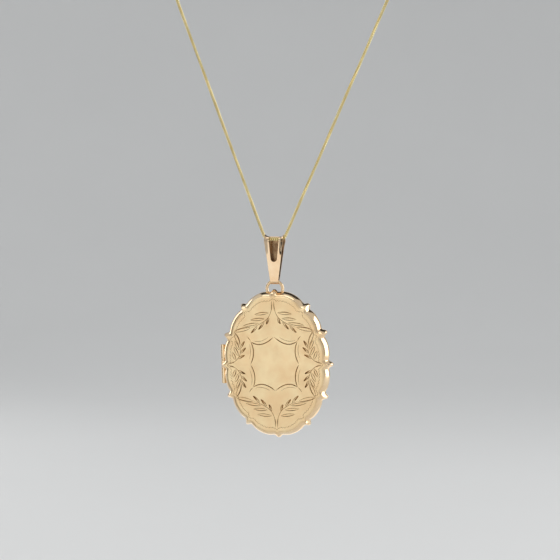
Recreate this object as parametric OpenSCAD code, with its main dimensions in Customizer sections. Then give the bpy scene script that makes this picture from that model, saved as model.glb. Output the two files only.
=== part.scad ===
// Oval family locket on a fine chain, in millimetres.
// +X is to the right, -Y is the engraved front and +Z is up.
// The origin is the middle of the chain where it lies in the bail.

/* [Locket] */
// Half width of the front edge, measured to the side cusps
front_half_w = 12.3; // [12.0:0.05:12.6]
// Half height of the front edge, measured to the top and bottom cusps
front_half_h = 16.1; // [15.8:0.05:16.6]
// How far the wall flares outward from the front edge to the seam
flare = 0.84; // [0.7:0.02:0.9]
// Thickness of each half, from the seam to its flat face
half_depth = 2.1; // [2.0:0.05:2.3]
// Thickness of the stamped sheet
sheet = 0.35; // [0.3:0.01:0.38]
// Width of the polished bevel inside the front edge
bevel_w = 0.45; // [0.3:0.05:0.6]
// Drop of the bevel at the front edge
bevel_drop = 0.12; // [0.06:0.02:0.2]

/* [Scalloped edge] */
// Depth of the hollow on each side of a cusp
valley = 0.8; // [0.6:0.05:0.9]
// Half width of a cusp at its foot
cusp_w = 1.05; // [0.9:0.05:1.2]
// Inset of the lobes on the left and right
side_inset = 0.65; // [0.5:0.05:0.7]
// Inset of the lobes at the top and bottom
end_inset = 0.16; // [0.1:0.02:0.3]

/* [Hinge] */
// Distance of the hinge axis from the middle of the locket
hinge_x = 12.55; // [12.5:0.05:12.7]
// Outer radius of the knuckles
knuckle_r = 0.5; // [0.45:0.01:0.52]
// Radius of the hinge pin
pin_r = 0.25; // [0.2:0.01:0.28]
// Length of the whole hinge
hinge_len = 8.8; // [8:0.1:9]
// Length of the middle knuckle
middle_len = 1.6; // [1.4:0.1:2]

/* [Hanging] */
// Mean radius of the hanging ring
ring_r = 1.82; // [1.75:0.01:1.9]
// Radius of the hanging ring's wire
ring_wire = 0.34; // [0.3:0.01:0.36]
// Length from the chain to the wire of the hanging ring
bail_drop = 9.5; // [9:0.05:10.5]
// Half width of the bail at its top
bail_top_w = 2.15; // [2.1:0.01:2.2]
// Half width of the bail at its lower end
bail_low_w = 0.85; // [0.75:0.01:0.9]
// Thickness of the bail's strip
strip = 0.2; // [0.18:0.01:0.22]

/* [Chain and clasp] */
// Width of the chain
chain_w = 0.7; // [0.6:0.02:0.72]
// Mean radius of the bolt ring
bolt_ring_r = 2.3; // [2.2:0.05:2.5]
// Outer radius of the bolt ring's tube
bolt_tube_r = 0.55; // [0.5:0.01:0.58]

/* [Hidden] */

$fn = 48;

plate_gold = [0.94, 0.84, 0.67];
bright_gold = [0.98, 0.88, 0.74];
chain_gold = [0.90, 0.84, 0.55];

// Twelve cusps round the ellipse, at these angles of its parameter.
cusp_angles = [-1, 25, 52.5, 90, 126.5, 156.5, 180.5, 206, 235, 270, 304, 332.5, 359];
steps_per_lobe = 12;
seam_gap = 0.03;
pin_play = 0.03;
lobe_power = 2.5;

// How the locket hangs: its ring sits behind the middle plane, so it tips a little.
ring_y = 0.45;
ring_z = 17.0;
hang_tip = 1.3;
hang_lean = 1.6;

// Oval parts inside: half widths and half heights.
rim_oval = [10.95, 15.3];
frame_oval = [10.5, 14.8];
frame_opening = [9.4, 13.7];
picture_oval = [10.1, 14.4];
rim_band = 0.25;
oval_steps = 72;

// The bail's loop over the chain, and its lower loop round the ring.
loop_r = 0.93;
loop_z = -0.55;
foot_r = 0.5;
foot_z = -(bail_drop + 0.07);
lip_start = 1.15;
lip_curve = 1.25;
lip_fade = 1.6;
slot_top_w = 1.2;
slot_low_w = 0.75;
slot_low_z = -4.4;
bail_foot_z = foot_z - foot_r - strip;

// Route of the chain, from the left end through the bail to the right end.
chain_route = [
    [-23.5, 0, 56], [-20.5, 0, 48], [-17.4, 0, 40], [-14.4, 0, 32], [-11.4, 0, 24], [-8.3, 0, 16],
    [-5.3, 0, 8], [-3.4, 0, 3], [-2.55, 0, 0.85], [-2.45, 0, 0.65], [-2.25, 0, 0.4], [-1.95, 0, 0.2],
    [-1.6, 0, 0.05], [-1.2, 0, 0], [0, 0, 0], [1.2, 0, 0], [1.6, 0, 0.05], [1.95, 0, 0.2],
    [2.25, 0, 0.4], [2.45, 0, 0.65], [2.55, 0, 0.85], [3.5, 0, 3], [5.7, 0, 8], [9.25, 0, 16],
    [12.8, 0, 24], [16.3, 0, 32], [19.9, 0, 40], [23.4, 0, 48], [27, 0, 56]];
chain_sides = 8;
chain_ring_gap = 2.1;

// Small rings at the chain's ends: mean radius and wire radius.
jump_r = 0.9;
jump_wire = 0.2;
eye_r = 0.7;
end_ring_r = 1.1;
end_ring_wire = 0.22;
link_play = 0.03;
bolt_r = 0.3;
bolt_bore_r = 0.36;
gap_from = 55;
gap_to = 100;
bolt_from = 50;
bolt_to = 190;
bore_to = 265;
knob_at = 122;
bolt_travel = 40;

function unit(v) = v / norm(v);
function on_ellipse(half, t) = [half.x * cos(t), half.y * sin(t)];
function ellipse_normal(half, t) = unit([cos(t) / half.x, sin(t) / half.y]);

// Offset of the edge from its ellipse: a lobe, its two hollows and the cusp between lobes.
function lobe_inset(n) = side_inset * n.x * n.x + end_inset * n.y * n.y;
function cusp_shape(x, soft) =
    x >= 1 ? 0 : (1 - soft) * pow(1 - x, 2) + soft * pow(1 - x * x, 2);
function edge_offset(n, u, x, soft, cusp) =
    let (inset = lobe_inset(n))
    -inset - valley * pow(abs(2 * u - 1), lobe_power) + cusp * (inset + valley) * cusp_shape(x, soft);

// A point of the scalloped edge: soft is 0 for the pointed front cusps and 1 at the seam.
function edge_point(half, k, u, soft, cusp) =
    let (t0 = cusp_angles[k], t1 = cusp_angles[k + 1], t = t0 + u * (t1 - t0))
    let (n = ellipse_normal(half, t))
    let (chord = norm(on_ellipse(half, t1) - on_ellipse(half, t0)))
    on_ellipse(half, t) + n * edge_offset(n, u, min(u, 1 - u) * chord / cusp_w, soft, cusp);
function edge(half, soft, cusp) =
    [for (k = [0:11]) for (i = [0:steps_per_lobe - 1])
        edge_point(half, k, 0.5 - 0.5 * cos(180 * i / steps_per_lobe), soft, cusp)];

// Half sizes of the edge's ellipse between the front, at 0, and the seam, at 1.
function half_at(f, inset) = [front_half_w + flare * f - inset, front_half_h + flare * f - inset];
function raise(points, y) = [for (p = points) [p.x, y, p.y]];
function oval(half) = [for (i = [0:oval_steps - 1]) on_ellipse(half, 360 * i / oval_steps)];

// Faces of a skin through rings of equal length, closed by a middle point at each end.
function skin_faces(rings, n) = concat(
    [for (r = [0:rings - 2]) for (i = [0:n - 1]) let (j = (i + 1) % n) each [
        [r * n + i, r * n + j, (r + 1) * n + j],
        [r * n + i, (r + 1) * n + j, (r + 1) * n + i]]],
    [for (i = [0:n - 1]) [rings * n, (i + 1) % n, i]],
    [for (i = [0:n - 1]) [rings * n + 1, (rings - 1) * n + i, (rings - 1) * n + (i + 1) % n]]);

module skin(rings, first_middle, last_middle) {
    polyhedron(
        points = concat([for (r = rings) each r], [first_middle, last_middle]),
        faces = skin_faces(len(rings), len(rings[0])));
}

// One stamped half, drawn as the front: flat face, bevel, flared wall, seam and hollow inside.
module stamped_half() {
    inner_y = -(half_depth - sheet);
    skin([
        raise(edge(half_at(0, bevel_w), 0, 1), -half_depth),
        raise(edge(half_at(0, 0), 0, 1), -(half_depth - bevel_drop)),
        raise(edge(half_at(0.62, 0), 0.6, 1), -half_depth / 2),
        raise(edge(half_at(1, 0), 1, 1), -seam_gap),
        raise(edge(half_at(1, sheet), 1, 0), -seam_gap),
        raise(edge(half_at(0.62, sheet), 1, 0), -half_depth / 2),
        raise(edge(half_at(0.1, sheet), 1, 0), inner_y)],
        [0, -half_depth, 0], [0, inner_y, 0]);
}

module hinge_room() {
    translate([-hinge_x, 0, 0]) {
        cylinder(r = knuckle_r + 0.08, h = hinge_len + 0.3, center = true);
        translate([-1.8, -1.4, -hinge_len / 2 - 0.15]) cube([2, 2.8, hinge_len + 0.3]);
    }
}

module on_locket() {
    translate([0, 0, -bail_drop]) rotate([hang_tip, 0, 0])
        translate([0, 0, -ring_r]) rotate([0, -hang_lean, 0])
            translate([0, -ring_y, -ring_z]) children();
}

module front_cover() {
    color(plate_gold) on_locket() difference() {
        stamped_half();
        hinge_room();
    }
}

module back_cover() {
    color(bright_gold) on_locket() difference() {
        mirror([0, 1, 0]) stamped_half();
        hinge_room();
    }
}

// A knuckle with the strap that solders it to its half; side is -1 for the front and 1 for the back.
module knuckle(from_z, length, side) {
    difference() {
        union() {
            translate([-hinge_x, 0, from_z]) cylinder(r = knuckle_r, h = length);
            translate([-hinge_x, side > 0 ? 0.05 : -0.95, from_z]) cube([0.65, 0.9, length]);
        }
        translate([-hinge_x, 0, from_z - 1]) cylinder(r = pin_r + pin_play, h = length + 2);
    }
}

module front_knuckle() {
    color(bright_gold) on_locket() knuckle(-middle_len / 2, middle_len, -1);
}

module back_knuckles() {
    gap = 0.08;
    length = (hinge_len - middle_len) / 2 - gap;
    color(bright_gold) on_locket() {
        knuckle(middle_len / 2 + gap, length, 1);
        knuckle(-hinge_len / 2, length, 1);
    }
}

module hinge_pin() {
    head = 0.1;
    color(bright_gold) on_locket() translate([-hinge_x, 0, 0]) {
        cylinder(r = pin_r, h = hinge_len + 2 * head, center = true);
        for (end = [-1, 1]) translate([0, 0, end * (hinge_len + head) / 2])
            cylinder(r = pin_r + 0.08, h = head, center = true);
    }
}

// A flat band between two outlines in the locket's plane, from one depth to another.
module flat_band(outside, inside, y0, y1) {
    translate([0, y1, 0]) rotate([90, 0, 0]) linear_extrude(y1 - y0) difference() {
        polygon(outside);
        polygon(inside);
    }
}

module flat_plate(outline, y0, y1) {
    translate([0, y1, 0]) rotate([90, 0, 0]) linear_extrude(y1 - y0) polygon(outline);
}

module snap_rim() {
    inside = oval(rim_oval - [rim_band, rim_band]);
    color(bright_gold) on_locket() {
        flat_band(oval(rim_oval), inside, -0.5, 0.6);
        flat_band(edge(half_at(0.8, sheet - 0.05), 1, 0), inside, 0.6, 0.75);
    }
}

module photo_frame() {
    flat_band(oval(frame_oval), oval(frame_opening), 0.4, 1.1);
    flat_band(edge(half_at(0.5, sheet), 1, 0), oval(frame_opening), 1.1, 1.35);
}

module front_photo_frame() {
    color(bright_gold) on_locket() mirror([0, 1, 0]) photo_frame();
}

module back_photo_frame() {
    color(bright_gold) on_locket() photo_frame();
}

module window_disc() {
    flat_plate(oval(picture_oval), 1.37, 1.54);
}

module front_window() {
    color([0.9, 0.95, 1, 0.3]) on_locket() mirror([0, 1, 0]) window_disc();
}

module back_window() {
    color([0.9, 0.95, 1, 0.3]) on_locket() window_disc();
}

module photo_card() {
    flat_plate(oval(picture_oval), 1.56, 1.73);
}

module front_photo_card() {
    color("ivory") on_locket() mirror([0, 1, 0]) photo_card();
}

module back_photo_card() {
    color("ivory") on_locket() photo_card();
}

// A wire ring lying in the XZ plane.
module wire_ring(mean_r, wire) {
    rotate([90, 0, 0]) rotate_extrude() translate([mean_r, 0]) circle(r = wire);
}

// The hanging ring's lower part is let into the top of the back half.
module hanging_ring() {
    foot_cut = 16.12;
    color(bright_gold) on_locket() difference() {
        translate([0, ring_y, ring_z]) wire_ring(ring_r, ring_wire);
        translate([-5, -5, foot_cut - 10]) cube([10, 10, 10]);
    }
}

// The bail is a belt that runs over the chain, down behind, under the ring and up in front.
// A station on its inner face is a point and the direction outward from it, both as [y, z].
function arc_stations(middle_z, r, from, to, n) =
    [for (i = [0:n]) let (a = from + (to - from) * i / n) [[r * cos(a), middle_z + r * sin(a)], [cos(a), sin(a)]]];
function between(a, b, n) = [for (i = [1:n - 1]) [a[0] + (b[0] - a[0]) * i / n, a[1]]];
belt_lean = asin((loop_r - foot_r) / (loop_z - foot_z));
over_chain = arc_stations(loop_z, loop_r, -belt_lean, 180 + belt_lean, 24);
under_ring = arc_stations(foot_z, foot_r, 180 + belt_lean, 360 - belt_lean, 14);
stations = concat(over_chain, between(over_chain[24], under_ring[0], 10), under_ring,
    between(under_ring[14], over_chain[0], 10));

function strip_half_w(z) = let (f = (z - bail_foot_z) / (loop_z - bail_foot_z))
    bail_low_w + (bail_top_w - bail_low_w) * min(max(f, 0), 1);
// The sides roll outward near the top, which gives the chain room to turn upward.
function lip(x, z) = let (over = max(abs(x) - lip_start, 0), f = min(max((z - loop_z) / lip_fade + 1, 0), 1))
    f * (lip_curve - sqrt(lip_curve * lip_curve - over * over));
across = [-1, -0.92, -0.84, -0.76, -0.68, -0.6, -0.52, 0, 0.52, 0.6, 0.68, 0.76, 0.84, 0.92, 1];
function belt_point(s, share, out) =
    let (x = share * strip_half_w(s[0].y), p = s[0] + s[1] * (lip(x, s[0].y) + out)) [x, p.x, p.y];
function belt_section(s) = concat(
    [for (f = across) belt_point(s, f, 0)],
    [for (f = across) belt_point(s, -f, strip)]);
function belt_faces(rows, n) = [for (r = [0:rows - 1]) for (i = [0:n - 1])
    let (s = (r + 1) % rows, j = (i + 1) % n) each [
        [r * n + i, s * n + j, r * n + j],
        [r * n + i, s * n + i, s * n + j]]];

module bail_belt() {
    polyhedron(
        points = [for (s = stations) each belt_section(s)],
        faces = belt_faces(len(stations), 2 * len(across)));
}

module bail_slot() {
    rotate([90, 0, 0]) linear_extrude(3) {
        polygon([[-slot_low_w, slot_low_z], [slot_low_w, slot_low_z], [slot_top_w, 0], [-slot_top_w, 0]]);
        translate([0, slot_low_z]) circle(r = slot_low_w);
    }
    translate([-slot_top_w, -3, -0.2]) cube([2 * slot_top_w, 3.4, 3]);
}

module bail() {
    color(bright_gold) difference() {
        bail_belt();
        bail_slot();
    }
}

// Points along the route, no further apart than the step.
function along(route, step) = concat(
    [for (i = [0:len(route) - 2])
        let (a = route[i], b = route[i + 1], n = max(1, ceil(norm(b - a) / step)))
        for (j = [0:n - 1]) a + (b - a) * j / n],
    [route[len(route) - 1]]);
function heading(points, i) =
    unit(points[min(i + 1, len(points) - 1)] - points[max(i - 1, 0)]);
function ring_round(p, t, r, n) =
    [for (k = [0:n - 1]) p + r * (cos(360 * k / n) * cross(t, [0, 1, 0]) + sin(360 * k / n) * [0, 1, 0])];

module chain() {
    points = along(chain_route, chain_ring_gap);
    last = len(points) - 1;
    color(chain_gold) skin(
        [for (i = [0:last]) ring_round(points[i], heading(points, i), chain_w / 2, chain_sides)],
        points[0], points[last]);
}

// The chain's ends: children are drawn with +Z along the chain, away from the bail.
module at_chain_end(side) {
    last = len(chain_route) - 1;
    end = side < 0 ? chain_route[0] : chain_route[last];
    before = side < 0 ? chain_route[7] : chain_route[last - 7];
    way = end - before;
    translate(end) rotate([0, atan2(way.x, way.z), 0]) children();
}

jump_z = jump_r + jump_wire;
jump_inner_top = jump_z + jump_r - jump_wire;
eye_z = jump_inner_top - link_play - jump_wire + eye_r;
end_ring_z = jump_inner_top - link_play - end_ring_wire + end_ring_r;
bolt_ring_z = eye_z + eye_r + 0.02 + bolt_ring_r + bolt_tube_r;

module jump_ring() {
    translate([0, 0, jump_z]) wire_ring(jump_r, jump_wire);
}

module left_jump_ring() {
    color(chain_gold) at_chain_end(-1) jump_ring();
}

module right_jump_ring() {
    color(chain_gold) at_chain_end(1) jump_ring();
}

module chain_end_ring() {
    color(chain_gold) at_chain_end(1) translate([0, 0, end_ring_z])
        rotate([0, 0, 90]) wire_ring(end_ring_r, end_ring_wire);
}

// An arc of the bolt ring in its own XZ plane, between two angles from +X towards +Z.
module ring_arc(from, to, radius) {
    rotate([90, 0, 0]) mirror([0, 0, 1]) rotate([0, 0, from]) rotate_extrude(angle = to - from)
        translate([bolt_ring_r, 0]) circle(r = radius);
}

module in_bolt_ring() {
    at_chain_end(-1) translate([0, 0, bolt_ring_z]) children();
}

module bolt_ring_body() {
    color(chain_gold) in_bolt_ring() difference() {
        ring_arc(gap_to, gap_from + 360, bolt_tube_r);
        ring_arc(gap_to - 2, bore_to, bolt_bore_r);
        ring_arc(bolt_from - 2, gap_from + 2, bolt_bore_r);
        for (a = [knob_at:bolt_travel / 8:knob_at + bolt_travel]) rotate([0, 90 - a, 0])
            translate([0, 0, bolt_ring_r]) cylinder(r = 0.27, h = 1);
    }
}

module bolt_ring_eye() {
    color(chain_gold) at_chain_end(-1) translate([0, 0, eye_z])
        rotate([0, 0, 90]) wire_ring(eye_r, jump_wire);
}

module bolt_ring_bolt() {
    color(chain_gold) in_bolt_ring() ring_arc(bolt_from, bolt_to, bolt_r);
}

module bolt_ring_knob() {
    color(chain_gold) in_bolt_ring() rotate([0, 90 - knob_at, 0]) translate([0, 0, bolt_ring_r]) {
        cylinder(r = 0.2, h = 0.9);
        translate([0, 0, 0.62]) cylinder(r = 0.3, h = 0.28);
    }
}

module bolt_ring_spring() {
    color("silver") in_bolt_ring() ring_arc(bolt_to + 1, bore_to - 1, bolt_r);
}

front_cover();
back_cover();
front_knuckle();
back_knuckles();
hinge_pin();
snap_rim();
front_photo_frame();
back_photo_frame();
front_window();
back_window();
front_photo_card();
back_photo_card();
hanging_ring();
bail();
chain();
left_jump_ring();
bolt_ring_body();
bolt_ring_eye();
bolt_ring_bolt();
bolt_ring_knob();
bolt_ring_spring();
right_jump_ring();
chain_end_ring();
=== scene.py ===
import math

import bmesh
import bpy
import numpy as np
from mathutils import Matrix, Vector
from mathutils.geometry import delaunay_2d_cdt


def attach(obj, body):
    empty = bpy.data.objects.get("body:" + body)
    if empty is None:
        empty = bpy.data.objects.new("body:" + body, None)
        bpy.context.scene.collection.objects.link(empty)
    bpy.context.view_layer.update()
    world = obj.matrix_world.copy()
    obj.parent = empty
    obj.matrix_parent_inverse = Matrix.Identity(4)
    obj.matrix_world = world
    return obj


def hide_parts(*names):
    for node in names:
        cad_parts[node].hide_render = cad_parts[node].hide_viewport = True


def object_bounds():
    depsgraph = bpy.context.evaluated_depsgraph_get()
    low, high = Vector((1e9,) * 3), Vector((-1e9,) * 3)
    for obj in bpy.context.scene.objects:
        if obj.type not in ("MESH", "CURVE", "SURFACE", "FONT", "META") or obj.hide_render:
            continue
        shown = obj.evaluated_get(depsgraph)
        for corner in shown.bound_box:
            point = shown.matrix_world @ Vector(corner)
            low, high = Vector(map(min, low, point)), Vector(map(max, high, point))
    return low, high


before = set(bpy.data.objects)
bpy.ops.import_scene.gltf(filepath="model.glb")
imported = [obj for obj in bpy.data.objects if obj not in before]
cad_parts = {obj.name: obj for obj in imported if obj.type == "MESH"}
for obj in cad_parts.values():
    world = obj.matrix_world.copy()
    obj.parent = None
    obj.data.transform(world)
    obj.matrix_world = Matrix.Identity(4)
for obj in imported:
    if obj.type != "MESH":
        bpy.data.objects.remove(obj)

cad_low, cad_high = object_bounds()
MM = 0.001

# Sizes repeated from part.scad, in millimetres.
FRONT_HALF = (12.3, 16.1)
FLARE = 0.84
HALF_DEPTH = 2.1
SHEET = 0.35
BEVEL_W = 0.45
BEVEL_DROP = 0.12
VALLEY = 0.8
CUSP_W = 1.05
SIDE_INSET = 0.65
END_INSET = 0.16
LOBE_POWER = 2.5
CUSP_ANGLES = [-1, 25, 52.5, 90, 126.5, 156.5, 180.5, 206, 235, 270, 304, 332.5, 359]
SEAM_GAP = 0.03
HINGE_X = 12.55
KNUCKLE_R = 0.5
HINGE_LEN = 8.8
RING_R = 1.82
RING_WIRE = 0.34
RING_Y = 0.45
RING_Z = 17.0
BAIL_DROP = 9.5
HANG_TIP = 1.3
HANG_LEAN = 1.6
CHAIN_W = 0.7


# ---------------------------------------------------------------- camera

def way(azimuth, elevation):
    """Direction from the object towards a place round it; azimuth 0 is in front, at -Y."""
    a = math.radians(azimuth)
    e = math.radians(elevation)
    return Vector((math.sin(a) * math.cos(e), -math.cos(a) * math.cos(e), math.sin(e)))


def make_camera():
    """A long lens a little to the right and slightly above, with the bail a little above the middle."""
    data = bpy.data.cameras.new("camera")
    camera = bpy.data.objects.new("camera", data)
    bpy.context.scene.collection.objects.link(camera)
    data.lens = 100
    data.sensor_width = 36
    data.clip_start = 0.01
    data.clip_end = 20
    back = way(13, 2.5)
    turn = (-back).to_track_quat("-Z", "Y")
    target = turn @ Vector((0.0012, -0.0093, 0))
    camera.rotation_mode = "QUATERNION"
    camera.rotation_quaternion = turn
    camera.location = target + back * 0.3535
    bpy.context.scene.camera = camera


make_camera()


# ---------------------------------------------------------------- materials

class Nodes:
    """A material's node tree, built with short calls."""

    def __init__(self, name):
        self.material = bpy.data.materials.new(name)
        self.material.use_nodes = True
        self.tree = self.material.node_tree
        self.tree.nodes.clear()
        self.out = self.tree.nodes.new("ShaderNodeOutputMaterial")
        self.shader = self.tree.nodes.new("ShaderNodeBsdfPrincipled")
        self.link(self.shader.outputs[0], self.out.inputs[0])
        self.place = self.tree.nodes.new("ShaderNodeTexCoord").outputs["Object"]

    def link(self, a, b):
        self.tree.links.new(a, b)

    def set(self, **values):
        for key, value in values.items():
            self.shader.inputs[key.replace("_", " ")].default_value = value

    def stretched(self, scale, turn=(0, 0, 0)):
        node = self.tree.nodes.new("ShaderNodeMapping")
        node.inputs["Scale"].default_value = scale
        node.inputs["Rotation"].default_value = turn
        self.link(self.place, node.inputs["Vector"])
        return node.outputs[0]

    def noise(self, scale, detail=2, rough=0.5, at=None):
        node = self.tree.nodes.new("ShaderNodeTexNoise")
        node.inputs["Scale"].default_value = scale
        node.inputs["Detail"].default_value = detail
        node.inputs["Roughness"].default_value = rough
        self.link(at or self.place, node.inputs["Vector"])
        return node.outputs["Fac"]

    def span(self, value, low, high, to_low=0.0, to_high=1.0):
        node = self.tree.nodes.new("ShaderNodeMapRange")
        node.inputs["From Min"].default_value = low
        node.inputs["From Max"].default_value = high
        node.inputs["To Min"].default_value = to_low
        node.inputs["To Max"].default_value = to_high
        self.link(value, node.inputs["Value"])
        return node.outputs[0]

    def sum(self, a, b, share=0.5):
        node = self.tree.nodes.new("ShaderNodeMix")
        node.inputs[0].default_value = share
        self.link(a, node.inputs[2])
        self.link(b, node.inputs[3])
        return node.outputs[0]

    def mix(self, amount, a, b):
        """A colour between a and b, which are colours or the outputs of other mixes."""
        node = self.tree.nodes.new("ShaderNodeMix")
        node.data_type = "RGBA"
        self.link(amount, node.inputs[0])
        for value, socket in ((a, node.inputs[6]), (b, node.inputs[7])):
            if isinstance(value, tuple):
                socket.default_value = (*value, 1)
            else:
                self.link(value, socket)
        return node.outputs[2]

    def bump(self, height, strength, distance, under=None):
        node = self.tree.nodes.new("ShaderNodeBump")
        node.inputs["Strength"].default_value = strength
        node.inputs["Distance"].default_value = distance
        self.link(height, node.inputs["Height"])
        if under is not None:
            self.link(under, node.inputs["Normal"])
        return node.outputs[0]

    def colour(self, value):
        self.link(value, self.shader.inputs["Base Color"])

    def roughness(self, value):
        self.link(value, self.shader.inputs["Roughness"])

    def normal(self, value):
        self.link(value, self.shader.inputs["Normal"])


def gold(name, warm, pale, rough, grain=0.0, scratches=0.12, painted_shade_colour=None):
    """Polished or satin gold: clouded colour, uneven polish, scratches and, for satin, a grain."""
    n = Nodes(name)
    n.set(Metallic=1.0)
    clouds = n.span(n.noise(260, 3, 0.55), 0.35, 0.65)
    base = n.mix(clouds, warm, pale)
    # The optional last colour darkens the gold in patches: painted shade, used for the cuts and the bail's
    # inside.
    if painted_shade_colour is not None:
        shade_patches = n.span(n.noise(900, 4, 0.6), 0.3, 0.7, 0.55, 1.0)
        base = n.mix(shade_patches, base, painted_shade_colour)
    n.colour(base)
    smear = n.sum(n.noise(420, 3, 0.6), n.noise(2600, 2, 0.5), 0.4)
    n.roughness(n.span(smear, 0.3, 0.7, rough * 0.82, rough * 1.2))
    along = n.noise(1500, 2, 0.6, n.stretched((1, 1, 14), (0.2, 0.5, 0.3)))
    across = n.noise(1300, 2, 0.6, n.stretched((12, 1, 1), (0.1, -0.4, 0.6)))
    bump = n.bump(n.sum(along, across), scratches, 0.00001)
    if grain:
        bump = n.bump(n.noise(9000, 2, 0.7), grain, 0.00001, bump)
        bump = n.bump(n.noise(700, 2, 0.5), grain * 0.5, 0.00002, bump)
    n.normal(bump)
    return n.material


def window_material():
    """Thin clear acetate with faint smears and a few fine scratches."""
    n = Nodes("acetate")
    n.set(IOR=1.45, Transmission_Weight=1.0)
    n.colour(n.mix(n.span(n.noise(180, 2), 0.3, 0.7), (0.94, 0.96, 0.95), (0.98, 0.98, 0.96)))
    n.roughness(n.span(n.noise(350, 4, 0.65), 0.35, 0.75, 0.02, 0.12))
    n.normal(n.bump(n.noise(900, 2, 0.6, n.stretched((1, 1, 20), (0, 0.6, 0))), 0.05, 0.00001))
    return n.material


def card_material():
    """Matt ivory paper with fibres and a little browning."""
    n = Nodes("paper")
    fibres = n.noise(2200, 4, 0.7, n.stretched((1, 1, 3), (0, 0.5, 0)))
    browned = n.mix(n.span(n.noise(140, 4, 0.6), 0.4, 0.75), (0.80, 0.74, 0.62), (0.70, 0.60, 0.44))
    n.colour(n.mix(n.span(fibres, 0.35, 0.7, 0.0, 0.5), browned, (0.88, 0.84, 0.74)))
    n.roughness(n.span(fibres, 0.3, 0.7, 0.75, 0.95))
    n.normal(n.bump(fibres, 0.3, 0.00003))
    return n.material


def steel_material():
    """Drawn spring wire."""
    n = Nodes("spring_steel")
    n.set(Metallic=1.0)
    n.colour(n.mix(n.span(n.noise(1500, 3), 0.3, 0.7), (0.42, 0.42, 0.43), (0.62, 0.61, 0.60)))
    n.roughness(n.span(n.noise(4000, 2), 0.3, 0.7, 0.22, 0.4))
    n.normal(n.bump(n.noise(5000, 2, 0.6), 0.1, 0.00001))
    return n.material


satin = gold("satin_gold", (0.90, 0.65, 0.37), (0.96, 0.76, 0.46), 0.36, grain=0.35)
polished = gold("polished_gold", (0.93, 0.67, 0.40), (0.97, 0.76, 0.50), 0.11, scratches=0.1)
bail_gold = gold("bail_gold", (0.80, 0.57, 0.36), (0.86, 0.67, 0.46), 0.14, scratches=0.1)
# The engraved cuts: a darker gold, patched darker still, as painted shade in the deep cuts.
painted_shade_cut_gold = gold("cut_gold_with_painted_shade", (0.74, 0.48, 0.22), (0.84, 0.58, 0.30), 0.2, scratches=0.2,
                  painted_shade_colour=(0.36, 0.21, 0.08))
# The bail's inner faces: a darker gold, patched darker still, as painted shade inside the bail.
painted_shade_bail_inside = gold("bail_inside_with_painted_shade", (0.80, 0.55, 0.30), (0.86, 0.62, 0.36), 0.26,
                   painted_shade_colour=(0.20, 0.105, 0.05))
chain_metal = gold("chain_gold", (0.90, 0.74, 0.34), (0.97, 0.85, 0.47), 0.14, scratches=0.15)
acetate = window_material()
paper = card_material()
spring_steel = steel_material()


# ---------------------------------------------------------------- pieces

def turned(axis, degrees):
    return Matrix.Rotation(math.radians(degrees), 4, axis)


# The locket's own frame, in millimetres, hung from the origin as in part.scad.
ON_LOCKET = (Matrix.Translation((0, 0, -BAIL_DROP)) @ turned("X", HANG_TIP)
             @ Matrix.Translation((0, 0, -RING_R)) @ turned("Y", -HANG_LEAN)
             @ Matrix.Translation((0, -RING_Y, -RING_Z)))
AS_IS = Matrix.Identity(4)


def piece(name, bm, body, materials, stands_for, place=AS_IS, angle=35, cutter=None):
    """Turns a mesh drawn in millimetres into a piece in metres that rides on a body."""
    mesh = bpy.data.meshes.new(name)
    bm.to_mesh(mesh)
    bm.free()
    for material in materials:
        mesh.materials.append(material)
    made = bpy.data.objects.new(name, mesh)
    bpy.context.scene.collection.objects.link(made)
    if cutter is not None:
        cut = made.modifiers.new("room", "BOOLEAN")
        cut.operation = "DIFFERENCE"
        cut.solver = "EXACT"
        cut.object = cutter
        bpy.context.view_layer.update()
        seen = made.evaluated_get(bpy.context.evaluated_depsgraph_get())
        whole = bpy.data.meshes.new_from_object(seen)
        made.modifiers.clear()
        made.data = whole
        bpy.data.objects.remove(cutter)
    made.data.transform(Matrix.Scale(MM, 4) @ place)
    made.data.shade_smooth()
    made.data.set_sharp_from_angle(angle=math.radians(angle))
    sharpen_between_materials(made.data)
    even = made.modifiers.new("even_faces", "WEIGHTED_NORMAL")
    even.keep_sharp = True
    even.weight = 80
    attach(made, body)
    if stands_for:
        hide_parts(*stands_for)
    return made


def sharpen_between_materials(mesh):
    """Marks the edges where one finish meets another."""
    if len(mesh.materials) < 2:
        return
    seen = {}
    for face in mesh.polygons:
        for key in face.edge_keys:
            seen.setdefault(key, set()).add(face.material_index)
    for e in mesh.edges:
        if len(seen.get(e.key, ())) > 1:
            e.use_edge_sharp = True


def loft(bm, rings, closed=False, material=0):
    """Joins rings of equal length with quads, and returns the rings' vertices."""
    made = [[bm.verts.new(p) for p in ring] for ring in rings]
    pairs = list(zip(made, made[1:]))
    if closed:
        pairs.append((made[-1], made[0]))
    count = len(rings[0])
    for a, b in pairs:
        for i in range(count):
            j = (i + 1) % count
            face = bm.faces.new((a[i], b[i], b[j], a[j]))
            face.material_index = material
    return made


def fan(bm, ring, middle, flip=False, material=0):
    """Closes a ring with triangles to a middle point."""
    top = bm.verts.new(middle)
    for i, a in enumerate(ring):
        b = ring[(i + 1) % len(ring)]
        face = bm.faces.new((b, a, top) if flip else (a, b, top))
        face.material_index = material


def box_cutter(low, high):
    bm = bmesh.new()
    corners = [bm.verts.new((x, y, z)) for x in (low[0], high[0])
               for y in (low[1], high[1]) for z in (low[2], high[2])]
    for f in ((0, 1, 3, 2), (4, 6, 7, 5), (0, 4, 5, 1), (2, 3, 7, 6), (0, 2, 6, 4), (1, 5, 7, 3)):
        bm.faces.new([corners[i] for i in f])
    return bm


def cutter_object(bm):
    bmesh.ops.recalc_face_normals(bm, faces=bm.faces)
    mesh = bpy.data.meshes.new("cutter")
    bm.to_mesh(mesh)
    bm.free()
    made = bpy.data.objects.new("cutter", mesh)
    bpy.context.scene.collection.objects.link(made)
    return made


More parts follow.
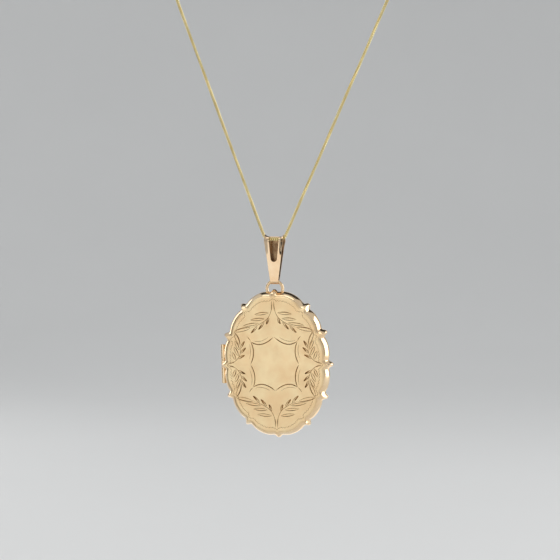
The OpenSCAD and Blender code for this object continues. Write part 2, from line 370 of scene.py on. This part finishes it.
# ---------------------------------------------------------------- the scalloped outline

def on_ellipse(half, t):
    return np.array((half[0] * math.cos(t), half[1] * math.sin(t)))


def ellipse_normal(half, t):
    n = np.array((math.cos(t) / half[0], math.sin(t) / half[1]))
    return n / np.linalg.norm(n)


def edge_point(half, k, u, soft, cusp):
    t0 = math.radians(CUSP_ANGLES[k])
    t1 = math.radians(CUSP_ANGLES[k + 1])
    t = t0 + u * (t1 - t0)
    n = ellipse_normal(half, t)
    chord = np.linalg.norm(on_ellipse(half, t1) - on_ellipse(half, t0))
    x = min(u, 1 - u) * chord / CUSP_W
    rise = 0 if x >= 1 else (1 - soft) * (1 - x) ** 2 + soft * (1 - x * x) ** 2
    inset = SIDE_INSET * n[0] ** 2 + END_INSET * n[1] ** 2
    offset = -inset - VALLEY * abs(2 * u - 1) ** LOBE_POWER + cusp * (inset + VALLEY) * rise
    return on_ellipse(half, t) + n * offset


def lobe_steps(steps):
    return [0.5 - 0.5 * math.cos(math.pi * i / steps) for i in range(steps)]


def edge(half, soft, cusp, steps=20):
    return [edge_point(half, k, u, soft, cusp) for k in range(12) for u in lobe_steps(steps)]


def edge_turns(steps=20):
    """The ellipse parameter of each point of an edge."""
    return [math.radians(CUSP_ANGLES[k] + u * (CUSP_ANGLES[k + 1] - CUSP_ANGLES[k]))
            for k in range(12) for u in lobe_steps(steps)]


def half_at(f, inset):
    return (FRONT_HALF[0] + FLARE * f - inset, FRONT_HALF[1] + FLARE * f - inset)


def raised(points, y):
    return [(p[0], y, p[1]) for p in points]


# ---------------------------------------------------------------- engraving

class Engraving:
    """V-shaped cuts in a flat face, each a line with a half width at every point."""

    def __init__(self):
        self.cuts = []

    def cut(self, points, half, steep=0.8, skew=0.0, shape="both"):
        points = [np.array(p, float) for p in points]
        last = len(points) - 1
        halves = []
        for i in range(last + 1):
            t = i / last
            swell = {"both": math.sin(math.pi * t) ** 0.6,
                     "even": min(1.0, 8 * t, 8 * (1 - t)),
                     "tip": (t ** 0.7) * min(1.0, (1 - t) * 5),
                     "root": ((1 - t) ** 0.7) * min(1.0, t * 5)}[shape]
            halves.append(max(half * swell, 0.0))
        halves[0] = halves[last] = 0.0
        self.cuts.append((points, halves, steep, skew))

    def curve(self, a, b, bulge, half, n=9, **how):
        """A cut from a to b that bows to its left by bulge."""
        a = np.array(a, float)
        b = np.array(b, float)
        side = np.array((-(b - a)[1], (b - a)[0]))
        side = side / np.linalg.norm(side)
        self.cut([a + (b - a) * i / n + side * bulge * 4 * (i / n) * (1 - i / n) for i in range(n + 1)],
                 half, **how)

    def sides(self, points):
        last = len(points) - 1
        out = []
        for i in range(last + 1):
            d = points[min(i + 1, last)] - points[max(i - 1, 0)]
            d = d / np.linalg.norm(d)
            out.append(np.array((-d[1], d[0])))
        return out

    def lines(self):
        """Points and edges of every cut: its two borders and its valley."""
        points = []
        edges = []
        self.border_of = []
        for which, (path, halves, steep, skew) in enumerate(self.cuts):
            normals = self.sides(path)
            rows = []
            for p, h, n in zip(path, halves, normals):
                offsets = (0.0,) if h < 1e-4 else (h, skew * h, -h)
                rows.append([len(points) + i for i in range(len(offsets))])
                points.extend(tuple(p + n * o) for o in offsets)
                self.border_of.extend([which] if len(offsets) == 1 else [which, -1, which])
            for a, b in zip(rows, rows[1:]):
                for i in range(3):
                    edges.append((a[min(i, len(a) - 1)], b[min(i, len(b) - 1)]))
        return points, edges

    def depth(self, points, border_of):
        """How deep the cuts go at each point; a point on the border of one cut isn't lowered by that cut."""
        deep = np.zeros(len(points))
        for which, (path, halves, steep, skew) in enumerate(self.cuts):
            grown = max(halves) + 0.01
            low = np.min(path, axis=0) - grown
            high = np.max(path, axis=0) + grown
            near = np.where(((points >= low) & (points <= high)).all(axis=1) & (border_of != which))[0]
            if not len(near):
                continue
            p = points[near]
            best = np.zeros(len(near))
            for a, b, ha, hb in zip(path, path[1:], halves, halves[1:]):
                d = b - a
                size = np.linalg.norm(d)
                d = d / size
                along = np.clip((p - a) @ d / size, 0, 1)
                foot = a + along[:, None] * (b - a)
                off = p - foot
                side = off @ np.array((-d[1], d[0]))
                side = np.where(np.abs(side) > 1e-9, np.sign(side), 1) * np.linalg.norm(off, axis=1)
                h = ha + (hb - ha) * along
                valley = skew * h
                up = (h - side) / np.maximum(h - valley, 1e-9)
                down = (side + h) / np.maximum(valley + h, 1e-9)
                best = np.maximum(best, steep * h * np.clip(np.where(side >= valley, up, down), 0, 1))
            deep[near] = np.maximum(deep[near], best)
        return deep


def bezier(points, n):
    """Points along a smooth curve with these control points."""
    out = []
    for i in range(n + 1):
        t = i / n
        level = [np.array(p, float) for p in points]
        while len(level) > 1:
            level = [a + (b - a) * t for a, b in zip(level, level[1:])]
        out.append(level[0])
    return out


def smooth_through(points, n):
    """Points along a Catmull-Rom curve through these points."""
    p = [np.array(q, float) for q in points]
    p = [2 * p[0] - p[1]] + p + [2 * p[-1] - p[-2]]
    out = []
    for k in range(1, len(p) - 2):
        for i in range(n):
            t = i / n
            out.append(0.5 * (2 * p[k] + (p[k + 1] - p[k - 1]) * t
                              + (2 * p[k - 1] - 5 * p[k] + 4 * p[k + 1] - p[k + 2]) * t ** 2
                              + (3 * p[k] - p[k - 1] - 3 * p[k + 1] + p[k + 2]) * t ** 3))
    out.append(p[-2])
    return out


def leaf(cuts, base, tip, width, heavy=0.0, mirror=1):
    """A pointed leaf of two bowed cuts; heavy widens one of them into a bright-cut slash."""
    cuts.curve(base, tip, width * mirror, 0.075 + heavy, skew=-0.55 * mirror, steep=0.9)
    cuts.curve(base, tip, -width * mirror, 0.07, skew=0.4 * mirror)


def spray(cuts, route, outer, inner, tip, mirror):
    """A branch with leaves on both sides and a pair at its end; mirror flips it left to right."""
    def m(p):
        return np.array((p[0] * mirror[0], p[1] * mirror[1]), float)
    hand = mirror[0] * mirror[1]
    line = smooth_through([m(p) for p in route], 6)
    cuts.cut(line, 0.06, shape="both")
    for base, end in outer:
        leaf(cuts, m(base), m(end), 0.27, 0.02, hand)
    for base, end in inner:
        leaf(cuts, m(base), m(end), 0.2, 0.0, -hand)
        base2 = m(base) + (m(end) - m(base)) * 0.35
        cuts.curve(base2, m(end), 0.06 * hand, 0.21, skew=0.5 * hand, steep=1.1, shape="tip")
    base, end = tip
    leaf(cuts, m(base), m(end), 0.36, 0.05, hand)


def front_engraving():
    cuts = Engraving()
    # The cartouche: eight bowed lines between its four cusps and four corners, each doubled outside.
    top, low, side = (0, 6.3), (0, -6.05), (5.65, 0)
    corner_up, corner_down = (5.45, 5.25), (5.2, -5.25)
    for mx in (-1, 1):
        for a, c, b in ((top, (3.0, 3.45), corner_up), (low, (2.9, -3.5), corner_down),
                        (corner_up, (4.15, 2.7), side), (corner_down, (4.05, -2.7), side)):
            line = [p * (mx, 1) for p in bezier([a, c, b], 14)]
            cuts.cut(line, 0.11, steep=0.85, skew=0.2 * mx, shape="even")
            out = np.array(line)
            middle = (out[0] + out[-1]) / 2
            away = middle / np.linalg.norm(middle)
            outer = [p + away * 0.75 for p in out[2:-2]]
            cuts.cut(outer, 0.05)
        for corner, tip in ((corner_up, (6.3, 6.4)), (corner_down, (6.1, -6.4))):
            cuts.curve(np.array(corner) * (mx, 1), np.array(tip) * (mx, 1), 0.12 * mx, 0.07, n=5)
    # Sprays from the four poles; neighbouring tips meet on the diagonals.
    for mz in (1, -1):
        for mx in (1, -1):
            spray(cuts,
                  [(0.12, 13.9), (0.35, 12.4), (1.3, 10.5), (3.4, 9.1), (5.4, 8.35)],
                  [((0.95, 11.75), (4.4, 11.4)), ((1.9, 10.4), (5.4, 10.15)), ((3.3, 9.4), (7.2, 8.8))],
                  [((1.0, 10.7), (1.6, 9.1)), ((2.1, 9.65), (3.5, 7.9)), ((3.7, 8.8), (5.3, 7.1))],
                  ((5.2, 8.4), (9.4, 7.5)), (mx, mz))
            spray(cuts,
                  [(10.7, 0.12), (9.6, 0.5), (8.4, 1.6), (7.85, 3.1), (7.9, 4.4)],
                  [((9.1, 1.0), (9.9, 3.0)), ((8.4, 1.9), (9.4, 4.1)), ((8.1, 3.2), (9.2, 5.5))],
                  [((8.7, 1.3), (6.9, 2.2)), ((8.0, 2.5), (6.6, 3.9)), ((7.9, 3.6), (6.9, 5.4))],
                  ((7.95, 4.3), (9.25, 7.5)), (mx, mz))
    # A double stem at each pole.
    for x in (-1, 1):
        for z in (-1, 1):
            cuts.curve((0.22 * x, 14.5 * z), (0.45 * x, 12.05 * z), -0.05 * x * z, 0.07)
            cuts.curve((11.0 * x, 0.2 * z), (9.2 * x, 0.75 * z), 0.05 * x * z, 0.07)
    # A wriggle-cut border that follows the scallops.
    walk_border(cuts, 0.72, 0.34, 0.16, 0.06)
    return cuts


def walk_border(cuts, inset, step, reach, half):
    """Short slanting cuts, turn and turn about, along a line inside the scalloped edge."""
    line = np.array(edge(half_at(0, BEVEL_W + inset), 0.5, 1, 24))
    line = np.vstack([line, line[:1]])
    sizes = np.linalg.norm(np.diff(line, axis=0), axis=1)
    gone = np.concatenate([[0], np.cumsum(sizes)])
    count = 2 * int(round(gone[-1] / step / 2))
    at = np.array([np.interp(gone[-1] * i / count, gone, line[:, 0]) for i in range(count + 1)])
    up = np.array([np.interp(gone[-1] * i / count, gone, line[:, 1]) for i in range(count + 1)])
    for i in range(count):
        a = np.array((at[i], up[i]))
        b = np.array((at[i + 1], up[i + 1]))
        d = (b - a) / np.linalg.norm(b - a)
        n = np.array((-d[1], d[0])) * (reach if i % 2 else -reach)
        a = a + (b - a) * 0.06
        b = b - (b - a) * 0.06
        cuts.cut([a - n, (a + b) / 2, b + n], half)


def within(points, outline):
    """Which points lie inside a closed outline."""
    found = np.zeros(len(points), bool)
    for a, b in zip(outline, outline[1:] + outline[:1]):
        crosses = (a[1] > points[:, 1]) != (b[1] > points[:, 1])
        rise = b[1] - a[1] if b[1] != a[1] else 1e-12
        at = a[0] + (points[:, 1] - a[1]) / rise * (b[0] - a[0])
        found ^= crosses & (points[:, 0] < at)
    return found


def engraved_face(bm, boundary, cuts, y):
    """Fills a flat outline with triangles that carry the cuts; material 0 is the face and 1 the cuts."""
    points = [tuple(p) for p in boundary]
    more, joins = cuts.lines()
    base = len(points)
    points += more
    edges = [(a + base, b + base) for a, b in joins]
    face = list(range(len(boundary)))
    vectors = [Vector(p) for p in points]
    xy, _, tris, came_from, _, _ = delaunay_2d_cdt(vectors, edges, [face], 1, 1e-5, True)
    flat = np.array([(v[0], v[1]) for v in xy])
    border_of = np.full(len(flat), -1)
    for i, sources in enumerate(came_from):
        for source in sources:
            if source >= len(boundary) and cuts.border_of[source - len(boundary)] >= 0:
                border_of[i] = cuts.border_of[source - len(boundary)]
    deep = cuts.depth(flat, border_of)
    middles = np.array([flat[list(t)].mean(axis=0) for t in tris])
    sunk = cuts.depth(middles, np.full(len(middles), -1))
    kept = within(middles, [tuple(p) for p in boundary])
    made = []
    for p, d in zip(flat, deep):
        made.append(bm.verts.new((p[0], y + d, p[1])))
    for t, middle_depth, inside in zip(tris, sunk, kept):
        if len(set(t)) < 3 or not inside:
            continue
        try:
            f = bm.faces.new([made[i] for i in t])
        except ValueError:
            continue
        # Faces inside a cut take material 1, the gold darkened with painted shade.
        f.material_index = 1 if middle_depth > 0.004 else 0


def cover(name, cuts, front):
    """One stamped half: face, bevel, softly rounded edge, flared wall, seam and the hollow inside."""
    bm = bmesh.new()
    boundary = edge(half_at(0, BEVEL_W), 0, 1)
    engraved_face(bm, boundary, cuts, -HALF_DEPTH)
    top = HALF_DEPTH - BEVEL_DROP
    rings = [raised(boundary, -HALF_DEPTH)]
    rings.append(raised(edge(half_at(0, 0.09), 0, 1), -top - 0.028))
    rings.append(raised(edge(half_at(0, 0.03), 0, 1), -top + 0.005))
    for i in range(1, 11):
        s = i / 10
        f = 1.691 * s - 0.691 * s * s
        soft = 1.61 * s - 0.61 * s * s
        rings.append(raised(edge(half_at(f, 0), soft, 1), -top + s * (top - SEAM_GAP - 0.03)))
    rings.append(raised(edge(half_at(1, 0.03), 1, 1), -SEAM_GAP))
    loft(bm, rings[:2], material=3)
    loft(bm, rings[1:], material=2)
    inner = loft(bm, [raised(edge(half_at(1, 0.03), 1, 1), -SEAM_GAP),
                      raised(edge(half_at(1, SHEET), 1, 0), -SEAM_GAP),
                      raised(edge(half_at(0.62, SHEET), 1, 0), -HALF_DEPTH / 2),
                      raised(edge(half_at(0.1, SHEET), 1, 0), -HALF_DEPTH + SHEET)], material=2)
    fan(bm, inner[-1], (0, -HALF_DEPTH + SHEET, 0), material=2)
    bmesh.ops.remove_doubles(bm, verts=bm.verts, dist=1e-4)
    bmesh.ops.recalc_face_normals(bm, faces=bm.faces)
    if not front:
        for v in bm.verts:
            v.co.y = -v.co.y
        bmesh.ops.reverse_faces(bm, faces=bm.faces)
    reach = HINGE_LEN / 2 + 0.15
    room = box_cutter((-HINGE_X - 1.8, -1.4, -reach), (-HINGE_X + 0.2, 1.4, reach))
    face = satin if front else polished
    body = "locket_front" if front else "locket_back"
    return piece(name, bm, body, [face, painted_shade_cut_gold, polished, face],
                 ["front_cover" if front else "back_cover"], ON_LOCKET, 28, cutter_object(room))


def back_engraving():
    """The plain back has only a fine cut line inside its scalloped edge."""
    cuts = Engraving()
    for k in range(12):
        line = [edge_point(half_at(0, BEVEL_W + 0.6), k, u, 0.5, 1) for u in lobe_steps(10)]
        line.append(edge_point(half_at(0, BEVEL_W + 0.6), k, 1, 0.5, 1))
        cuts.cut(line, 0.06)
    return cuts


cover("front_cover_engraved", front_engraving(), True)
cover("back_cover_plain", back_engraving(), False)


# ---------------------------------------------------------------- bail

LOOP_R = 0.93
LOOP_Z = -0.55
FOOT_R = 0.5
FOOT_Z = -(BAIL_DROP + 0.07)
STRIP = 0.2
BAIL_TOP_W = 2.15
BAIL_LOW_W = 0.85
SLOT_TOP_W = 1.2
SLOT_LOW_W = 0.75
SLOT_LOW_Z = -4.4


def arc_stations(z, r, start, end, n):
    out = []
    for i in range(n + 1):
        a = math.radians(start + (end - start) * i / n)
        out.append(((r * math.cos(a), z + r * math.sin(a)), (math.cos(a), math.sin(a))))
    return out


def straight(a, b, n):
    return [((a[0][0] + (b[0][0] - a[0][0]) * i / n, a[0][1] + (b[0][1] - a[0][1]) * i / n), a[1])
            for i in range(1, n)]


def bail_outline(z):
    f = (z - (FOOT_Z - FOOT_R - STRIP)) / (LOOP_Z - (FOOT_Z - FOOT_R - STRIP))
    return BAIL_LOW_W + (BAIL_TOP_W - BAIL_LOW_W) * min(max(f, 0), 1)


def bail_lip(x, z, front):
    """How far the sides roll outward: at the horns all round, and down to the slot's end in front."""
    over = max(abs(x) - 1.15, 0)
    f = min(max((z - LOOP_Z) / 1.6 + 1, 0), 1)
    horn = f * (1.25 - math.sqrt(1.25 ** 2 - over * over))
    if not front:
        return horn
    down = min(max(z / SLOT_LOW_Z, 0), 1)
    arm = max(abs(x) - SLOT_TOP_W - (SLOT_LOW_W - SLOT_TOP_W) * down, 0)
    fade = 1 - max(down - 0.55, 0) / 0.45
    return max(horn, fade * 0.34 * arm * arm)


def bail_belt():
    lean = math.degrees(math.asin((LOOP_R - FOOT_R) / (LOOP_Z - FOOT_Z)))
    over = arc_stations(LOOP_Z, LOOP_R, -lean, 180 + lean, 36)
    under = arc_stations(FOOT_Z, FOOT_R, 180 + lean, 360 - lean, 22)
    stations = (over + straight(over[-1], under[0], 14) + under + straight(under[-1], over[0], 40))
    shares = [-1, -0.985, -0.94, -0.88, -0.8, -0.72, -0.64, -0.54, -0.27, 0,
              0.27, 0.54, 0.64, 0.72, 0.8, 0.88, 0.94, 0.985, 1]
    bm = bmesh.new()
    rings = []
    for (y, z), (oy, oz) in stations:
        ring = []
        for outward, row in ((0, shares), (1, shares[::-1])):
            for share in row:
                x = share * bail_outline(z)
                round_off = 0.035 if abs(share) == 1 else 0.01 if abs(share) == 0.985 else 0
                out = bail_lip(x, z, y < 0 and oz < 0.5) + (STRIP - round_off if outward else round_off)
                ring.append((x, y + oy * out, z + oz * out))
        rings.append(ring)
    made = loft(bm, rings, closed=True)
    inner = set()
    for ring in made:
        inner.update(ring[:len(shares)])
    # Inner faces take material 1, the gold darkened with painted shade.
    for f in bm.faces:
        f.material_index = 1 if all(v in inner for v in f.verts) else 0
    bmesh.ops.recalc_face_normals(bm, faces=bm.faces)
    return bm


def bail_slot():
    """The tapered opening in front, round at its lower end, and the open top between the horns."""
    bm = bmesh.new()
    outline = [(SLOT_TOP_W, -0.2), (SLOT_TOP_W, 3), (-SLOT_TOP_W, 3), (-SLOT_TOP_W, -0.2)]
    for i in range(17):
        a = math.pi + math.pi * i / 16
        outline.append((SLOT_LOW_W * math.cos(a), SLOT_LOW_Z + SLOT_LOW_W * math.sin(a)))
    near = [bm.verts.new((x, -3.0, z)) for x, z in outline]
    far = [bm.verts.new((x, 0.0, z)) for x, z in outline]
    bm.faces.new(near)
    bm.faces.new(far[::-1])
    for i in range(len(outline)):
        j = (i + 1) % len(outline)
        bm.faces.new((near[j], near[i], far[i], far[j]))
    return bm


def make_bail():
    bail = piece("bail_slotted", bail_belt(), "bail", [bail_gold, painted_shade_bail_inside],
                 ["bail"], AS_IS, 35, cutter_object(bail_slot()))
    soft = bail.modifiers.new("soft_edges", "BEVEL")
    soft.width = 0.035 * MM
    soft.segments = 2
    soft.limit_method = "ANGLE"
    soft.angle_limit = math.radians(50)
    return bail


make_bail()


# ---------------------------------------------------------------- tubes and rings

def tube_rings(points, sides, radius, steps=14):
    """Circles round a line of points; radius is a number or one for each point."""
    rings = []
    last = len(points) - 1
    for i, p in enumerate(points):
        t = (points[min(i + 1, last)] - points[max(i - 1, 0)]).normalized()
        side = sides[i]
        side = (side - t * side.dot(t)).normalized()
        other = t.cross(side)
        r = radius[i] if isinstance(radius, list) else radius
        rings.append([tuple(p + (side * math.cos(2 * math.pi * k / steps)
                                 + other * math.sin(2 * math.pi * k / steps)) * r)
                      for k in range(steps)])
    return rings


def capped_tube(bm, points, sides, radius, steps=14):
    made = loft(bm, tube_rings(points, sides, radius, steps))
    fan(bm, made[0], points[0], flip=True)
    fan(bm, made[-1], points[-1])


def hanging_ring():
    """A wire ring whose two ends swell into the solder where they enter the back half."""
    bm = bmesh.new()
    low = math.degrees(math.asin(0.88 / RING_R)) + 1
    points = []
    sides = []
    radii = []
    for i in range(73):
        a = math.radians(-low + (180 + 2 * low) * i / 72)
        points.append(Vector((RING_R * math.cos(a), RING_Y, RING_Z + RING_R * math.sin(a))))
        sides.append(Vector((0, 1, 0)))
        from_end = min(i, 72 - i) / 7
        radii.append(RING_WIRE + 0.08 * max(0.0, 1 - from_end) ** 2)
    capped_tube(bm, points, sides, radii, 20)
    bmesh.ops.recalc_face_normals(bm, faces=bm.faces)
    return piece("hanging_ring_soldered", bm, "locket_back", [polished],
                 ["hanging_ring"], ON_LOCKET, 40)


hanging_ring()


# ---------------------------------------------------------------- chain

# The route of part.scad, in millimetres, from the left end through the bail to the right end.
CHAIN_ROUTE = [
    (-23.5, 0, 56), (-20.5, 0, 48), (-17.4, 0, 40), (-14.4, 0, 32), (-11.4, 0, 24), (-8.3, 0, 16),
    (-5.3, 0, 8), (-3.4, 0, 3), (-2.55, 0, 0.85), (-2.45, 0, 0.65), (-2.25, 0, 0.4), (-1.95, 0, 0.2),
    (-1.6, 0, 0.05), (-1.2, 0, 0), (0, 0, 0), (1.2, 0, 0), (1.6, 0, 0.05), (1.95, 0, 0.2),
    (2.25, 0, 0.4), (2.45, 0, 0.65), (2.55, 0, 0.85), (3.5, 0, 3), (5.7, 0, 8), (9.25, 0, 16),
    (12.8, 0, 24), (16.3, 0, 32), (19.9, 0, 40), (23.4, 0, 48), (27, 0, 56)]
MIDDLE = 14


class Line:
    """A line of points that gives a place and a heading at any length along it."""

    def __init__(self, points):
        self.points = [Vector(p) for p in points]
        self.gone = [0.0]
        for a, b in zip(self.points, self.points[1:]):
            self.gone.append(self.gone[-1] + (b - a).length)
        self.length = self.gone[-1]

    def at(self, s):
        s = min(max(s, 0.0), self.length)
        k = max(i for i in range(len(self.gone) - 1) if self.gone[i] <= s + 1e-9)
        f = (s - self.gone[k]) / (self.gone[k + 1] - self.gone[k])
        return self.points[k].lerp(self.points[k + 1], f)

    def heading(self, s, reach):
        return (self.at(s + reach) - self.at(s - reach)).normalized()


LINK_WIRE = 0.115
LINK_PITCH = 0.5


def curb_link(bm, middle, ahead, side, face):
    """One twisted link of a curb chain, filed a little flat in front and behind."""
    a = (LINK_PITCH + 2 * LINK_WIRE) / 2
    b = CHAIN_W / 2 - LINK_WIRE
    twist = LINK_WIRE * 1.05
    count = 18
    line = []
    for i in range(count):
        t = 2 * math.pi * i / count
        line.append(ahead * (a * math.cos(t)) + side * (b * math.sin(t)) + face * (twist * math.sin(2 * t)))
    rings = []
    flat = twist + LINK_WIRE * 0.55
    for i in range(count):
        t = (line[(i + 1) % count] - line[i - 1]).normalized()
        outward = line[i] - t * line[i].dot(t)
        outward = outward.normalized() if outward.length > 1e-6 else side
        up = t.cross(outward)
        ring = []
        for k in range(8):
            q = 2 * math.pi * (k + 0.5) / 8
            p = line[i] + (outward * math.cos(q) + up * math.sin(q)) * LINK_WIRE
            high = p.dot(face)
            p = p - face * (high - min(max(high, -flat), flat))
            ring.append(tuple(middle + p))
        rings.append(ring)
    loft(bm, rings, closed=True)


def chain_half(name, points):
    """The links from the bail to one end; the flat side rolls slowly, as on a real fine chain."""
    line = Line(points)
    bm = bmesh.new()
    count = int(line.length / LINK_PITCH)
    start = LINK_PITCH / 2
    pitch = (line.length - start - 0.2) / (count - 1)
    for i in range(count):
        s = start + pitch * i
        ahead = line.heading(s, 0.3)
        side = ahead.cross(Vector((0, 1, 0))).normalized()
        face = side.cross(ahead)
        roll = Matrix.Rotation(0.45 * math.sin(s / 4.3) * min(1, s / 6), 3, ahead)
        curb_link(bm, line.at(s), ahead, roll @ side, roll @ face)
    bmesh.ops.recalc_face_normals(bm, faces=bm.faces)
    made = piece(name, bm, "chain", [chain_metal], ["chain"], AS_IS, 30)
    return made


chain_half("chain_left", CHAIN_ROUTE[MIDDLE::-1])
chain_half("chain_right", CHAIN_ROUTE[MIDDLE:])


# ---------------------------------------------------------------- inside

def photo_frame(name, side, body, stands_for):
    """An oval photo frame: a rolled bead round the opening, a groove, a second bead and its flange."""
    turns = edge_turns(12)
    profile = [(0.0, 1.35), (0.0, 0.72)]
    profile += [(0.24 - 0.24 * math.cos(math.pi * i / 6), 0.66 - 0.24 * math.sin(math.pi * i / 6))
                for i in range(1, 6)]
    profile += [(0.48, 0.7), (0.58, 0.72)]
    profile += [(0.84 - 0.24 * math.cos(math.pi * i / 6), 0.64 - 0.2 * math.sin(math.pi * i / 6))
                for i in range(1, 6)]
    profile += [(1.1, 0.72), (1.1, 1.1)]
    rings = []
    for out, y in profile:
        rings.append([(x, y * side, z) for x, z in
                      (on_ellipse((9.4 + out, 13.7 + out), t) for t in turns)])
    outer = edge(half_at(0.5, SHEET), 1, 0, 12)
    rings.append(raised(outer, 1.1 * side))
    rings.append(raised(outer, 1.35 * side))
    bm = bmesh.new()
    loft(bm, rings, closed=True)
    bmesh.ops.recalc_face_normals(bm, faces=bm.faces)
    return piece(name, bm, body, [polished], [stands_for], ON_LOCKET, 40)


photo_frame("front_frame_beaded", -1, "locket_front", "front_photo_frame")
photo_frame("back_frame_beaded", 1, "locket_back", "back_photo_frame")


# ---------------------------------------------------------------- CAD nodes that stay

KEPT = {
    "front_knuckle": polished, "back_knuckles": polished, "hinge_pin": polished, "snap_rim": polished,
    "front_window": acetate, "back_window": acetate, "front_photo_card": paper, "back_photo_card": paper,
    "left_jump_ring": chain_metal, "bolt_ring_body": chain_metal, "bolt_ring_eye": chain_metal,
    "bolt_ring_bolt": chain_metal, "bolt_ring_knob": chain_metal, "right_jump_ring": chain_metal,
    "chain_end_ring": chain_metal, "bolt_ring_spring": spring_steel}
for name, material in KEPT.items():
    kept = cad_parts[name].data
    kept.materials.clear()
    kept.materials.append(material)


# ---------------------------------------------------------------- studio

def stage_object(name, bm, material):
    mesh = bpy.data.meshes.new(name)
    bm.to_mesh(mesh)
    bm.free()
    mesh.materials.append(material)
    mesh.shade_smooth()
    made = bpy.data.objects.new(name, mesh)
    bpy.context.scene.collection.objects.link(made)
    return made


def plain(name, colour, rough=0.9, glow=0.0):
    n = Nodes(name)
    near = tuple(min(c * 1.02, 1.0) for c in colour)
    n.colour(n.mix(n.span(n.noise(6, 3), 0.3, 0.7), colour, near))
    n.set(Roughness=rough)
    if glow:
        n.set(Emission_Strength=glow, Emission_Color=(*colour, 1))
    return n.material


def make_floor():
    """A pale floor that curves up all round into a pale wall."""
    below = cad_low.z - 0.06
    profile = [(0.0, 0.0)] + [(0.15 * i, 0.0) for i in range(1, 5)]
    profile += [(0.6 + 0.7 * math.sin(a), 0.7 - 0.7 * math.cos(a))
                for a in (math.pi / 2 * i / 16 for i in range(1, 17))]
    profile.append((1.3, 0.9))
    bm = bmesh.new()
    count = 96
    rings = [[(r * math.cos(2 * math.pi * i / count), r * math.sin(2 * math.pi * i / count), below + z)
              for i in range(count)] for r, z in profile[1:]]
    made = loft(bm, rings)
    fan(bm, made[0], (0, 0, below), flip=True)
    bmesh.ops.recalc_face_normals(bm, faces=bm.faces)
    stage_object("floor", bm, plain("pale_floor", (0.75, 0.75, 0.74)))


def card(name, azimuth, elevation, distance, width, height, material):
    """A flat card that faces the locket; the metal reflects it and the camera doesn't see it."""
    bm = bmesh.new()
    signs = ((-1, -1), (1, -1), (1, 1), (-1, 1))
    corners = [bm.verts.new((x * width / 2, y * height / 2, 0)) for x, y in signs]
    bm.faces.new(corners)
    made = stage_object(name, bm, material)
    aim = way(azimuth, elevation)
    made.rotation_mode = "QUATERNION"
    made.rotation_quaternion = aim.to_track_quat("-Z", "Y")
    made.location = middle + aim * distance
    made.visible_camera = False
    made.visible_shadow = False
    made.visible_diffuse = False
    return made


def area_light(name, azimuth, elevation, distance, width, height, power, colour=(1, 1, 1)):
    data = bpy.data.lights.new(name, "AREA")
    data.shape = "RECTANGLE"
    data.size = width
    data.size_y = height
    data.energy = power
    data.color = colour
    made = bpy.data.objects.new(name, data)
    bpy.context.scene.collection.objects.link(made)
    aim = way(azimuth, elevation)
    made.rotation_mode = "QUATERNION"
    made.rotation_quaternion = aim.to_track_quat("Z", "Y")
    made.location = middle + aim * distance


def make_world():
    world = bpy.data.worlds.new("studio")
    bpy.context.scene.world = world
    world.use_nodes = True
    back = world.node_tree.nodes["Background"]
    back.inputs["Color"].default_value = (0.95, 0.97, 1.0, 1)
    back.inputs["Strength"].default_value = 0.62


middle = (cad_low + cad_high) / 2
middle.z = cad_low.z + 0.017
make_floor()
make_world()
dark = plain("dark_card", (0.03, 0.03, 0.03))
lit = plain("lit_card", (0.5, 0.5, 0.49), glow=1.34)
card("front_reflector", -12, -9, 0.3, 0.26, 0.15, lit)
card("dark_left_front", -45, -12, 0.13, 0.04, 0.11, dark)
card("dark_left", -85, 10, 0.5, 0.34, 0.5, dark)
card("dark_top", 0, 60, 0.5, 0.5, 0.2, dark)
card("dark_above_back", 180, 48, 0.4, 0.4, 0.22, dark)
card("lit_below_back", 180, -44, 0.1, 0.13, 0.055, lit)
area_light("top_box", 0, 78, 0.7, 0.7, 0.7, 1.4)
area_light("right_box", 118, 12, 0.55, 0.3, 0.45, 1.1)
area_light("left_back_box", -118, 12, 0.6, 0.3, 0.4, 0.6)
area_light("front_box", -14, 30, 0.8, 0.5, 0.35, 0.6)

bpy.context.scene.view_settings.view_transform = "Standard"

bpy.context.view_layer.update()
